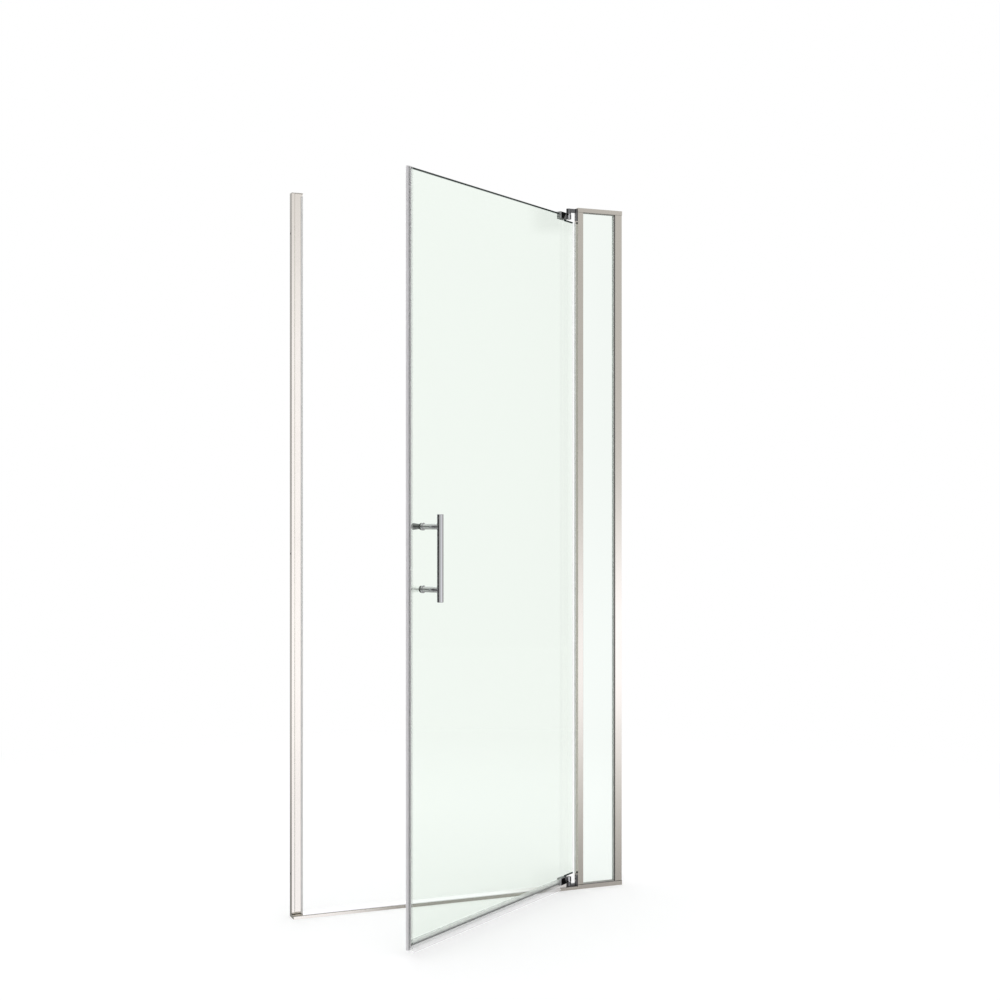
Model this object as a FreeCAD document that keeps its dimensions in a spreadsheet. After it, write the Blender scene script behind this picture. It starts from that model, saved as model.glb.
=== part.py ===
import FreeCAD, Part
import os
import re
import Sketcher

# Pivot shower door with a fixed panel beside it. X runs along the wall line to the right, Y into the
# shower and Z up. The origin lies on the floor, in the plane of the glass, midway between the walls.
# The door's own pieces are drawn closed, about the pivot axis, and then swung open together.

SIZES = {
    # Whole door
    "total_width": 914.4,
    "total_height": 1830,
    "panel_width": 132.45,
    "front_reach": 14,
    "sill_depth": 38,
    "panel_depth": 22,
    "door_open_angle": 35,
    # Extruded profiles
    "profile_wall": 1.8,
    "slide_gap": 0.2,
    "cut_overrun": 1,
    "corner_round": 0.8,
    "leg_round": 1.6,
    # Left wall profile and strike jamb
    "front_leg": 8.4,
    "back_leg": 14,
    "jamb_reach": 28.55,
    "jamb_inset": 2.5,
    "jamb_drop": 17,
    "cap_thickness": 2,
    "cap_plug_depth": 8,
    "cap_plug_gap": 0.1,
    "strike_width": 4.6,
    "strike_seat": 1.9,
    "strike_wall": 0.8,
    "strike_drop": 6.2,
    "close_gap": 0.4,
    "strike_overlap": 4.1,
    "foot_gap": 0.6,
    # Holes for the wall screws
    "wall_hole_radius": 2.75,
    "wall_hole_end": 99,
    "wall_hole_setback": 7,
    # Screws that lock the telescoping profiles
    "screw_radius": 2,
    "screw_fit": 0.05,
    "screw_head_radius": 3.5,
    "screw_head_height": 2,
    "jamb_screw_grip": 4.2,
    "jamb_screw_end": 150,
    "left_screw_reach": 8.5,
    "right_screw_reach": 5,
    # Hinge post, panel jamb and right wall profile
    "post_width": 16,
    "panel_jamb_width": 20.95,
    "panel_jamb_inset": 1.5,
    "right_leg": 8,
    "slot_depth": 8.5,
    # Rails of the fixed panel
    "top_rail_height": 11,
    "bottom_rail_height": 12,
    "rail_base": 2,
    "rail_screw_length": 22,
    "rail_screw_head_height": 1.5,
    # Fixed glass and its glazing
    "glass_thickness": 6,
    "glass_arris": 0.5,
    "gasket_wall": 1.6,
    "gasket_base": 2,
    "gasket_lip": 1,
    "block_height": 3,
    "block_length": 25,
    "block_inset": 15,
    # Sill
    "sill_height": 8,
    "sill_round": 1.5,
    # Pivot brackets
    "pivot_offset": 21,
    "flange_thickness": 3,
    "flange_front": 9.5,
    "flange_back": 0.5,
    "flange_margin": 3,
    "flange_round": 2.5,
    "arm_half": 5.5,
    "arm_height": 9,
    "lower_arm_height": 5,
    "arm_sill_gap": 0.4,
    "boss_radius": 6.5,
    "boss_collar": 5,
    "lower_boss_collar": 6,
    "bracket_screw_length": 6.4,
    "bracket_screw_end": 5.5,
    "bracket_screw_pitch": 9,
    # Pivot pins and bushes
    "pin_radius": 3.5,
    "pin_press": 0.01,
    "pin_clearance": 0.05,
    "pin_chamfer": 1,
    "pin_reach": 11.5,
    "bush_radius": 5,
    "bush_fit": 0.05,
    "bush_flange": 1,
    "bush_flange_radius": 6.2,
    "run_gap": 0.4,
    # Glass clamps
    "clamp_reach": 54,
    "clamp_grip": 26,
    "clamp_height": 19,
    "clamp_lip": 3,
    "clamp_plate": 4.5,
    "clamp_gasket": 1,
    "clamp_round": 1,
    "barrel_radius": 7,
    "barrel_height": 12.5,
    "clamp_screw_near": 36,
    "clamp_screw_far": 47.5,
    "clamp_screw_radius": 2.2,
    "clamp_screw_head_radius": 4,
    "clamp_screw_head_height": 2.2,
    "clamp_screw_bite": 3,
    "glass_hole_radius": 4,
    # Door glass
    "door_top_drop": 20.5,
    "hinge_edge": 18,
    "notch_gap": 0.5,
    "notch_cover": 2,
    "edge_round": 2.4,
    # Seal with its magnet on the free edge
    "seal_wall": 1.1,
    "seal_leg": 6.5,
    "seal_to_magnet": 8,
    "seal_round": 1.4,
    "seal_floor_gap": 8.3,
    "magnet_size": 5,
    # Seal on the hinge post
    "post_seal_gap": 0.7,
    "post_seal_end": 1,
    # Sweep under the door
    "sweep_wall": 1,
    "sweep_leg": 13.5,
    "sweep_base": 3.5,
    "sweep_web": 2,
    "fin_flare": 7.5,
    "fin_wall": 1.2,
    "fin_gap": 0.6,
    # Handle
    "handle_height": 911.5,
    "handle_edge": 44,
    "bar_radius": 7.5,
    "bar_length": 203,
    "bar_overhang": 29,
    "bar_standoff": 50.8,
    "bar_chamfer": 0.8,
    "handle_post_radius": 6.8,
    "collar_radius": 9,
    "collar_height": 3,
    "washer_thickness": 1,
    "stud_radius": 3,
    "stud_fit": 0.05,
    "stud_bite": 14,
    "handle_hole_radius": 6,
    "sleeve_fit": 0.1,
    "knob_length": 23,
    "knob_root_radius": 5.5,
    "knob_tip_radius": 8,
    "knob_rim": 4,
    "knob_groove": 0.6,
    "knob_chamfer": 1,
}

# Places that follow from the sizes, each a formula over them
PLACES = {
    "wall_left": "-total_width / 2",
    "wall_right": "total_width / 2",
    "front_face": "-front_reach",
    "sill_back": "sill_depth - front_reach",
    "panel_back": "panel_depth - front_reach",
    "glass_half": "glass_thickness / 2",
    "seal_half": "glass_half + seal_wall",
    "slot_half": "glass_half + gasket_wall",
    # Left jamb
    "left_front": "seal_half + close_gap",
    "jamb_front": "left_front + profile_wall + slide_gap",
    "jamb_back": "sill_back - profile_wall - slide_gap",
    "jamb_foot": "sill_height + foot_gap",
    "jamb_end": "wall_left + jamb_inset",
    "jamb_face": "wall_left + jamb_reach",
    "jamb_top": "total_height - jamb_drop",
    "strike_left": "jamb_face - strike_width",
    "strike_back": "jamb_front + strike_seat",
    "strike_top": "jamb_top - strike_drop",
    # Fixed panel
    "post_left": "wall_right - panel_width",
    "post_right": "post_left + post_width",
    "post_slot": "post_right - slot_depth",
    "post_top": "total_height - top_rail_height",
    "post_seal_back": "panel_back - corner_round",
    "post_seal_tip": "pivot_x + sqrt(hinge_edge * hinge_edge + glass_half * glass_half) + post_seal_gap",
    "panel_face": "wall_right - panel_jamb_width",
    "panel_slot": "panel_face + slot_depth",
    "panel_end": "wall_right - panel_jamb_inset",
    "chamber_front": "front_face + profile_wall",
    "chamber_back": "panel_back - profile_wall",
    "fixed_left": "post_slot + gasket_base",
    "fixed_right": "panel_slot - gasket_base",
    "fixed_bottom": "rail_base + block_height",
    "fixed_top": "total_height - rail_base - gasket_base",
    "rail_screw_y": "(chamber_front - slot_half - profile_wall) / 2",
    "post_port": "(post_slot + post_right) / 2",
    "panel_port": "(panel_face + panel_slot) / 2",
    # Pivot line, from the floor up
    "pivot_x": "post_left - pivot_offset",
    "lower_arm_bottom": "sill_height + arm_sill_gap",
    "lower_arm_top": "lower_arm_bottom + lower_arm_height",
    "lower_boss_top": "lower_arm_top + lower_boss_collar",
    "lower_clamp_bottom": "lower_boss_top + run_gap + bush_flange",
    "lower_clamp_top": "lower_clamp_bottom + clamp_height",
    "door_bottom": "lower_clamp_bottom + clamp_lip",
    "door_top": "total_height - door_top_drop",
    "upper_clamp_top": "door_top + clamp_lip",
    "upper_clamp_bottom": "upper_clamp_top - clamp_height",
    "upper_boss_bottom": "upper_clamp_top + bush_flange + run_gap",
    "upper_arm_bottom": "upper_boss_bottom + boss_collar",
    "upper_arm_top": "upper_arm_bottom + arm_height",
    "flange_face": "post_left - flange_thickness",
    "flange_middle": "(flange_back - flange_front) / 2",
    # Door, measured from the pivot axis
    "seal_nose": "jamb_face - strike_overlap - pivot_x",
    "magnet_line": "seal_nose + seal_wall + magnet_size / 2",
    "free_edge": "magnet_line + seal_to_magnet",
    "notch_depth": "clamp_height - clamp_lip - notch_cover",
    "notch_line": "-clamp_grip - notch_gap",
    "plate_in": "glass_half + clamp_gasket",
    "plate_out": "plate_in + clamp_plate",
    "bush_bore": "bush_radius + bush_fit",
    "clamp_screw_height": "(clamp_height - clamp_lip) / 2",
    "sweep_half": "glass_half + sweep_wall",
    "sweep_bottom": "door_bottom - sweep_base",
    "fin_bottom": "sill_height + fin_gap",
    "handle_x": "free_edge + handle_edge",
    "handle_centres": "bar_length - 2 * bar_overhang",
    "bar_y": "-glass_half - bar_standoff",
    "washer_out": "glass_half + washer_thickness",
    "stud_bore": "stud_radius + stud_fit",
}

FUNCTIONS = ("sqrt",)
NAME = re.compile(r"[A-Za-z_]\w*")
PLANES = {"XY": "XY_Plane", "XZ": "XZ_Plane", "YZ": "YZ_Plane"}
LEFT = "left"
RIGHT = "right"
MATCH_TOLERANCE = 0.005

doc = FreeCAD.newDocument("shower_door")
sheet = doc.addObject("Spreadsheet::Sheet", "sizes")
for row, (alias, size) in enumerate(SIZES.items(), start=1):
    sheet.set(f"A{row}", alias)
    sheet.set(f"B{row}", str(size))
    sheet.setAlias(f"B{row}", alias)
doc.recompute()

pieces = []


def formula(text):
    """A formula over the sheet: a place opens into its own formula, a size becomes its cell."""
    def swap(match):
        name = match.group()
        if name in PLACES:
            return "(" + formula(PLACES[name]) + ")"
        return name if name in FUNCTIONS else "sizes." + name
    return NAME.sub(swap, text)


def value(text):
    return float(sheet.evalExpression(formula(text)))


def negative(text):
    return f"-({text})"


def piece(label, swings=False):
    """An empty body with its own label; a piece of the door stands on the pivot axis, swung open."""
    body = doc.addObject("PartDesign::Body", label)
    body.Label = label
    if swings:
        hang(body)
    pieces.append(body)
    return body


def hang(body):
    turn = FreeCAD.Rotation(FreeCAD.Vector(0, 0, 1), value("door_open_angle"))
    body.Placement = FreeCAD.Placement(FreeCAD.Vector(value("pivot_x"), 0, 0), turn)
    body.setExpression("Placement.Base.x", formula("pivot_x"))
    body.setExpression("Placement.Rotation.Angle", formula("door_open_angle"))


def group(label, members):
    """Equal small pieces kept together as one group of separate solids."""
    for member in members:
        pieces.remove(member)
    whole = doc.addObject("Part::Compound", label)
    whole.Label = label
    whole.Links = members
    pieces.append(whole)


def set_sketch(body, plane, offset):
    """A sketch on one of the body's own planes, moved by offset = (across, up, along the normal)."""
    sketch = body.newObject("Sketcher::SketchObject", body.Label + "_sketch")
    support = [feature for feature in body.Origin.OriginFeatures if feature.Role == PLANES[plane]]
    sketch.AttachmentSupport = [(support[0], "")]
    sketch.MapMode = "FlatFace"
    for axis, shift in zip("xyz", offset):
        if shift != "0":
            sketch.setExpression(f"AttachmentOffset.Base.{axis}", formula(shift))
    return sketch


def fix(sketch, kind, geometry, text):
    """A driving constraint whose value is a formula over the sheet."""
    index = sketch.addConstraint(Sketcher.Constraint(kind, *geometry, value(text)))
    sketch.setExpression(f"Constraints[{index}]", formula(text))


def fix_point(sketch, geometry, end, x, y):
    for kind, text, other_axis in (("DistanceX", x, -2), ("DistanceY", y, -1)):
        if text == "0":
            sketch.addConstraint(Sketcher.Constraint("PointOnObject", geometry, end, other_axis))
        else:
            fix(sketch, kind, (-1, 1, geometry, end), text)


def arc_between(start, end, radius, bend):
    """The short arc from start to end that bends to the left or to the right."""
    chord = end - start
    side = FreeCAD.Vector(-chord.y, chord.x, 0).normalize()
    height = (radius ** 2 - (chord.Length / 2) ** 2) ** 0.5
    centre = (start + end) / 2 + side * (height if bend == LEFT else -height)
    first, last = (start, end) if bend == LEFT else (end, start)
    circle = Part.Circle(centre, FreeCAD.Vector(0, 0, 1), radius)
    return Part.ArcOfCircle(circle, circle.parameter(first), circle.parameter(last))


def draw(sketch, outline):
    """A closed outline of corners (x, y). A corner (x, y, radius, bend) ends an arc from the one before."""
    corners = [FreeCAD.Vector(value(corner[0]), value(corner[1]), 0) for corner in outline]
    count = len(outline)
    edges = []
    for index in range(count):
        after = (index + 1) % count
        target = outline[after]
        if len(target) == 2:
            edge = sketch.addGeometry(Part.LineSegment(corners[index], corners[after]))
            edges.append((edge, 1, 2))
            continue
        bend = target[3]
        shape = arc_between(corners[index], corners[after], value(target[2]), bend)
        edge = sketch.addGeometry(shape)
        edges.append((edge, 1, 2) if bend == LEFT else (edge, 2, 1))
    for index in range(count):
        after = (index + 1) % count
        edge, start, end = edges[index]
        next_edge, next_start, next_end = edges[after]
        sketch.addConstraint(Sketcher.Constraint("Coincident", edge, end, next_edge, next_start))
        fix_point(sketch, edge, start, *outline[index][:2])
        if len(outline[after]) > 2:
            fix(sketch, "Radius", (edge,), outline[after][2])


def draw_circle(sketch, x, y, radius):
    centre = FreeCAD.Vector(value(x), value(y), 0)
    edge = sketch.addGeometry(Part.Circle(centre, FreeCAD.Vector(0, 0, 1), value(radius)))
    fix_point(sketch, edge, 3, x, y)
    fix(sketch, "Radius", (edge,), radius)


def rectangle(x0, y0, x1, y1):
    return [(x0, y0), (x1, y0), (x1, y1), (x0, y1)]


def pad(body, plane, start, end, outlines=(), circles=()):
    """Material from start to end along the plane's axis; outlines inside others leave holes."""
    offset = negative(end) if plane == "XZ" else start
    return extrude(body, "PartDesign::Pad", plane, offset, start, end, outlines, circles)


def cut(body, plane, start, end, outlines=(), circles=()):
    """The same taken away."""
    offset = negative(start) if plane == "XZ" else end
    before = body.Shape.Volume
    feature = extrude(body, "PartDesign::Pocket", plane, offset, start, end, outlines, circles)
    if not body.Shape.Volume < before:
        raise RuntimeError(f"a cut of {body.Label} takes nothing away")
    return feature


def extrude(body, kind, plane, offset, start, end, outlines, circles):
    sketch = set_sketch(body, plane, ("0", "0", offset))
    for outline in outlines:
        draw(sketch, outline)
    for circle in circles:
        draw_circle(sketch, *circle)
    feature = body.newObject(kind, body.Label + "_solid")
    feature.Profile = sketch
    feature.setExpression("Length", formula(f"{end} - ({start})"))
    doc.recompute()
    return feature


def turn(body, axis, place, outline, away=False):
    """A turned solid, or a turned cut, about X, Y or Z through place; the outline is (radius, along)."""
    x, y, z = place
    plane, offset, line = {
        "X": ("XY", (x, y, z), "H_Axis"),
        "Y": ("XY", (x, y, z), "V_Axis"),
        "Z": ("XZ", (x, z, negative(y)), "V_Axis"),
    }[axis]
    sketch = set_sketch(body, plane, offset)
    if axis == "X":
        outline = [(along, radius) for radius, along in outline]
    draw(sketch, outline)
    kind = "PartDesign::Groove" if away else "PartDesign::Revolution"
    before = body.Shape.Volume if away else 0
    feature = body.newObject(kind, body.Label + "_turned")
    feature.Profile = sketch
    feature.ReferenceAxis = (sketch, [line])
    doc.recompute()
    if away and not body.Shape.Volume < before:
        raise RuntimeError(f"a turned cut of {body.Label} takes nothing away")
    return feature


def round_edges(body, radius, wanted):
    """A fillet on every edge of the body that passes the test wanted(middle, direction)."""
    base = body.Tip
    local = body.Placement.inverse()
    names = []
    for index, edge in enumerate(body.Shape.Edges, start=1):
        if edge.Curve.TypeId != "Part::GeomLine":
            continue
        middle = local.multVec(edge.CenterOfMass)
        direction = local.Rotation.multVec(edge.tangentAt(edge.FirstParameter))
        if wanted(middle, direction):
            names.append(f"Edge{index}")
    feature = body.newObject("PartDesign::Fillet", body.Label + "_round")
    feature.Base = (base, names)
    feature.setExpression("Radius", formula(radius))
    doc.recompute()


def near(first, text):
    """Whether a coordinate lies at a place, to well under the finest size here."""
    return abs(first - value(text)) < MATCH_TOLERANCE


def upright_at(*corners):
    """A test for upright edges that stand at the given corners (x, y)."""
    return lambda middle, direction: abs(direction.z) > abs(direction.x) + abs(direction.y) and any(
        near(middle.x, x) and near(middle.y, y) for x, y in corners)


def three_heights(bottom, top, end):
    """Heights near both ends of an upright, and midway."""
    low = f"({bottom} + {end})"
    high = f"({top} - {end})"
    return low, f"({low} + {high}) / 2", high


# Screws

def pan_screw(label, axis, place, head, grip, sizes, swings=False):
    """A screw with its head's seat at place; head is the way the head points, + or -."""
    shank, head_radius, head_height = sizes
    tip = "+" if head == "-" else "-"
    body = piece(label, swings)
    turn(body, axis, place, [
        ("0", f"{tip}({grip})"),
        (shank, f"{tip}({grip})"),
        (shank, "0"),
        (head_radius, "0"),
        (head_radius, f"{head}({head_height})"),
        ("0", f"{head}({head_height})"),
    ])
    return body


JAMB_SCREW = ("screw_radius", "screw_head_radius", "screw_head_height")
CLAMP_SCREW = ("clamp_screw_radius", "clamp_screw_head_radius", "clamp_screw_head_height")
SCREW_HOLE = "screw_radius + screw_fit"


# Left wall profile, strike jamb and strike

def left_side():
    heights = three_heights("jamb_foot", "jamb_top", "wall_hole_end")
    screw_heights = three_heights("jamb_foot", "jamb_top", "jamb_screw_end")
    screw_x = "wall_left + left_screw_reach"

    body = piece("left_wall_profile")
    pad(body, "XY", "jamb_foot", "jamb_top", [[
        ("wall_left", "left_front"),
        ("wall_left + front_leg", "left_front"),
        ("wall_left + front_leg", "left_front + profile_wall"),
        ("wall_left + profile_wall", "left_front + profile_wall"),
        ("wall_left + profile_wall", "sill_back - profile_wall"),
        ("wall_left + back_leg", "sill_back - profile_wall"),
        ("wall_left + back_leg", "sill_back"),
        ("wall_left", "sill_back"),
    ]])
    cut(body, "YZ", "wall_left - cut_overrun", "wall_left + profile_wall + cut_overrun",
        circles=[("sill_back - wall_hole_setback", height, "wall_hole_radius") for height in heights])
    cut(body, "XZ", "sill_back - profile_wall - cut_overrun", "sill_back + cut_overrun",
        circles=[(screw_x, height, SCREW_HOLE) for height in screw_heights])

    round_edges(body, "leg_round", upright_at(("wall_left + front_leg", "left_front")))

    body = piece("strike_jamb")
    pad(body, "XY", "jamb_foot", "jamb_top", [[
        ("jamb_end", "jamb_front"),
        ("strike_left", "jamb_front"),
        ("strike_left", "strike_back"),
        ("jamb_face", "strike_back"),
        ("jamb_face", "jamb_back"),
        ("jamb_end", "jamb_back"),
        ("jamb_end", "jamb_back - profile_wall"),
        ("jamb_face - profile_wall", "jamb_back - profile_wall"),
        ("jamb_face - profile_wall", "strike_back + profile_wall"),
        ("strike_left - profile_wall", "strike_back + profile_wall"),
        ("strike_left - profile_wall", "jamb_front + profile_wall"),
        ("jamb_end", "jamb_front + profile_wall"),
    ]])
    cut(body, "XZ", "jamb_back - profile_wall - cut_overrun", "jamb_back + cut_overrun",
        circles=[(screw_x, height, SCREW_HOLE) for height in screw_heights])

    round_edges(body, "corner_round", upright_at(("jamb_face", "jamb_back")))

    magnet = rectangle("strike_left + strike_wall", "left_front + strike_wall",
                       "jamb_face - strike_wall", "strike_back - strike_wall")
    body = piece("strike_magnet_seal")
    pad(body, "XY", "jamb_foot", "strike_top", [
        rectangle("strike_left", "left_front", "jamb_face", "strike_back"),
        magnet,
    ])
    body = piece("strike_magnet_strip")
    pad(body, "XY", "jamb_foot", "strike_top", [magnet])

    group("left_jamb_screws", [
        pan_screw(f"left_jamb_screw_{number}", "Y", (screw_x, "sill_back", height), "+",
                  "jamb_screw_grip", JAMB_SCREW)
        for number, height in enumerate(screw_heights, start=1)
    ])

    body = piece("left_jamb_cap")
    pad(body, "XY", "jamb_top", "jamb_top + cap_thickness", [
        rectangle("wall_left", "left_front", "jamb_face", "sill_back"),
    ])
    pad(body, "XY", "jamb_top - cap_plug_depth", "jamb_top", [
        rectangle("jamb_end + cap_plug_gap", "jamb_front + profile_wall + cap_plug_gap",
                  "strike_left - profile_wall - cap_plug_gap", "jamb_back - profile_wall - cap_plug_gap"),
    ])


# Hinge post, panel jamb and right wall profile

def right_side():
    heights = three_heights("bottom_rail_height", "post_top", "wall_hole_end")
    screw_heights = three_heights("bottom_rail_height", "post_top", "jamb_screw_end")
    screw_x = "wall_right - right_screw_reach"
    leg_front = "chamber_front + slide_gap"
    leg_back = "chamber_back - slide_gap"

    body = piece("hinge_post")
    pad(body, "XY", "bottom_rail_height", "post_top", [
        [
            ("post_left", "front_face"),
            ("post_right", "front_face"),
            ("post_right", "-slot_half"),
            ("post_slot", "-slot_half"),
            ("post_slot", "slot_half"),
            ("post_right", "slot_half"),
            ("post_right", "panel_back"),
            ("post_left", "panel_back"),
        ],
        rectangle("post_left + profile_wall", "chamber_front", "post_slot - profile_wall", "chamber_back"),
        rectangle("post_slot", "chamber_front", "post_right - profile_wall", "-slot_half - profile_wall"),
    ])
    round_edges(body, "corner_round", upright_at(
        ("post_left", "front_face"), ("post_right", "front_face"),
        ("post_left", "panel_back"), ("post_right", "panel_back")))
    cut(body, "YZ", "post_left - cut_overrun", "post_left + profile_wall + cut_overrun",
        circles=[(y, z, SCREW_HOLE) for y, z in bracket_screws()])

    body = piece("hinge_post_seal")
    pad(body, "XY", "lower_clamp_top + post_seal_end", "upper_clamp_bottom - post_seal_end", [
        rectangle("post_seal_tip", "0", "post_left", "post_seal_back"),
    ])
    round_edges(body, "seal_round", upright_at(("post_seal_tip", "0"), ("post_seal_tip", "post_seal_back")))

    body = piece("panel_jamb")
    pad(body, "XY", "bottom_rail_height", "post_top", [
        [
            ("panel_end", "front_face"),
            ("panel_end", "chamber_front"),
            ("panel_slot + profile_wall", "chamber_front"),
            ("panel_slot + profile_wall", "chamber_back"),
            ("panel_end", "chamber_back"),
            ("panel_end", "panel_back"),
            ("panel_face", "panel_back"),
            ("panel_face", "slot_half"),
            ("panel_slot", "slot_half"),
            ("panel_slot", "-slot_half"),
            ("panel_face", "-slot_half"),
            ("panel_face", "front_face"),
        ],
        rectangle("panel_face + profile_wall", "chamber_front", "panel_slot", "-slot_half - profile_wall"),
    ])
    round_edges(body, "corner_round", upright_at(
        ("panel_face", "front_face"), ("panel_face", "panel_back")))
    cut(body, "XZ", "chamber_back - cut_overrun", "panel_back + cut_overrun",
        circles=[(screw_x, height, SCREW_HOLE) for height in screw_heights])

    body = piece("right_wall_profile")
    pad(body, "XY", "bottom_rail_height", "post_top", [[
        ("wall_right", leg_front),
        ("wall_right", leg_back),
        ("wall_right - right_leg", leg_back),
        ("wall_right - right_leg", f"{leg_back} - profile_wall"),
        ("wall_right - profile_wall", f"{leg_back} - profile_wall"),
        ("wall_right - profile_wall", f"{leg_front} + profile_wall"),
        ("wall_right - right_leg", f"{leg_front} + profile_wall"),
        ("wall_right - right_leg", leg_front),
    ]])
    cut(body, "YZ", "wall_right - profile_wall - cut_overrun", "wall_right + cut_overrun",
        circles=[("(chamber_front + chamber_back) / 2", height, "wall_hole_radius") for height in heights])
    cut(body, "XZ", f"{leg_back} - profile_wall - cut_overrun", f"{leg_back} + cut_overrun",
        circles=[(screw_x, height, SCREW_HOLE) for height in screw_heights])

    group("right_jamb_screws", [
        pan_screw(f"right_jamb_screw_{number}", "Y", (screw_x, "panel_back", height), "+",
                  "jamb_screw_grip", JAMB_SCREW)
        for number, height in enumerate(screw_heights, start=1)
    ])


# Rails of the fixed panel, its glass and glazing

def slotted_rail(label, outer, slot):
    """A solid rail across the panel, with a slot for the glass that stops short of both ends."""
    body = piece(label)
    pad(body, "YZ", "post_left", "wall_right", [rectangle("front_face", outer[0], "panel_back", outer[1])])
    round_edges(body, "corner_round", upright_at(("post_left", "front_face"), ("post_left", "panel_back")))
    cut(body, "YZ", "fixed_left - slide_gap", "fixed_right + slide_gap", [
        rectangle("-slot_half", slot[0], "slot_half", slot[1]),
    ])
    return body


def rail_screw(label, x, head, tip_sign):
    """A countersunk screw through a rail into a port of the upright; its head is flush with the rail."""
    body = piece(label)
    turn(body, "Z", (x, "rail_screw_y", head), [
        ("0", "0"),
        ("screw_head_radius", "0"),
        ("screw_radius", f"{tip_sign}rail_screw_head_height"),
        ("screw_radius", f"{tip_sign}rail_screw_length"),
        ("0", f"{tip_sign}rail_screw_length"),
    ])
    return body


def rail_screw_hole(body, x, head, tip_sign):
    turn(body, "Z", (x, "rail_screw_y", head), [
        ("0", "0"),
        ("screw_head_radius + screw_fit", "0"),
        (SCREW_HOLE, f"{tip_sign}(rail_screw_head_height + screw_fit)"),
        (SCREW_HOLE, f"{tip_sign}rail_screw_length"),
        ("0", f"{tip_sign}rail_screw_length"),
    ], away=True)


def break_edges(body):
    """The ground arris on all edges round both faces of the fixed pane."""
    base = body.Tip
    names = []
    for index, edge in enumerate(body.Shape.Edges, start=1):
        middle = edge.CenterOfMass
        if near(middle.y, "glass_half") or near(middle.y, "-glass_half"):
            names.append(f"Edge{index}")
    feature = body.newObject("PartDesign::Chamfer", body.Label + "_arris")
    feature.Base = (base, names)
    feature.setExpression("Size", formula("glass_arris"))
    doc.recompute()


def fixed_panel():
    ports = ("post_port", "panel_port")
    top_rail = slotted_rail("panel_top_rail", ("post_top", "total_height"),
                            ("post_top - cut_overrun", "total_height - rail_base"))
    bottom_rail = slotted_rail("panel_bottom_rail", ("0", "bottom_rail_height"),
                               ("rail_base", "bottom_rail_height + cut_overrun"))
    for port in ports:
        rail_screw_hole(top_rail, port, "total_height", "-")
        rail_screw_hole(bottom_rail, port, "0", "+")
    group("top_rail_screws", [
        rail_screw(f"top_rail_screw_{port}", port, "total_height", "-") for port in ports
    ])
    group("bottom_rail_screws", [
        rail_screw(f"bottom_rail_screw_{port}", port, "0", "+") for port in ports
    ])

    body = piece("fixed_glass")
    pad(body, "XZ", "-glass_half", "glass_half", [
        rectangle("fixed_left", "fixed_bottom", "fixed_right", "fixed_top"),
    ])
    break_edges(body)

    for label, base, edge, lip in (
        ("post_glazing_gasket", "post_slot", "fixed_left", "post_right + gasket_lip"),
        ("jamb_glazing_gasket", "panel_slot", "fixed_right", "panel_face - gasket_lip"),
    ):
        body = piece(label)
        pad(body, "XY", "bottom_rail_height", "post_top", [[
            (base, "-slot_half"),
            (lip, "-slot_half"),
            (lip, "-glass_half"),
            (edge, "-glass_half"),
            (edge, "glass_half"),
            (lip, "glass_half"),
            (lip, "slot_half"),
            (base, "slot_half"),
        ]])

    body = piece("top_glazing_gasket")
    pad(body, "YZ", "fixed_left", "fixed_right", [[
        ("-slot_half", "post_top"),
        ("-glass_half", "post_top"),
        ("-glass_half", "fixed_top"),
        ("glass_half", "fixed_top"),
        ("glass_half", "post_top"),
        ("slot_half", "post_top"),
        ("slot_half", "fixed_top + gasket_base"),
        ("-slot_half", "fixed_top + gasket_base"),
    ]])

    strips = []
    for side, inner, outer in (("front", "-slot_half", "-glass_half"), ("back", "glass_half", "slot_half")):
        strip = piece(f"bottom_gasket_{side}")
        pad(strip, "YZ", "fixed_left", "fixed_right", [
            rectangle(inner, "rail_base", outer, "bottom_rail_height"),
        ])
        strips.append(strip)
    group("bottom_glazing_gasket", strips)

    blocks = []
    for side, start, end in (
        ("left", "fixed_left + block_inset", "fixed_left + block_inset + block_length"),
        ("right", "fixed_right - block_inset - block_length", "fixed_right - block_inset"),
    ):
        block = piece(f"setting_block_{side}")
        pad(block, "YZ", start, end, [rectangle("-glass_half", "rail_base", "glass_half", "fixed_bottom")])
        blocks.append(block)
    group("setting_blocks", blocks)


# Sill

def sill():
    body = piece("sill_rail")
    pad(body, "YZ", "wall_left", "post_left", [
        rectangle("front_face", "0", "sill_back", "sill_height"),
    ])
    round_edges(body, "sill_round", lambda middle, direction:
                near(middle.z, "sill_height") and abs(direction.x) > abs(direction.y))


# Pivot brackets and pins, carried by the post

def bracket_screws():
    """Where the screws of both brackets enter the post."""
    lower = "lower_clamp_top - flange_margin - bracket_screw_end"
    upper = "upper_clamp_bottom + flange_margin + bracket_screw_end"
    rows = (lower, f"{lower} - bracket_screw_pitch", upper, f"{upper} + bracket_screw_pitch")
    return [("flange_middle", z) for z in rows]


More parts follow.
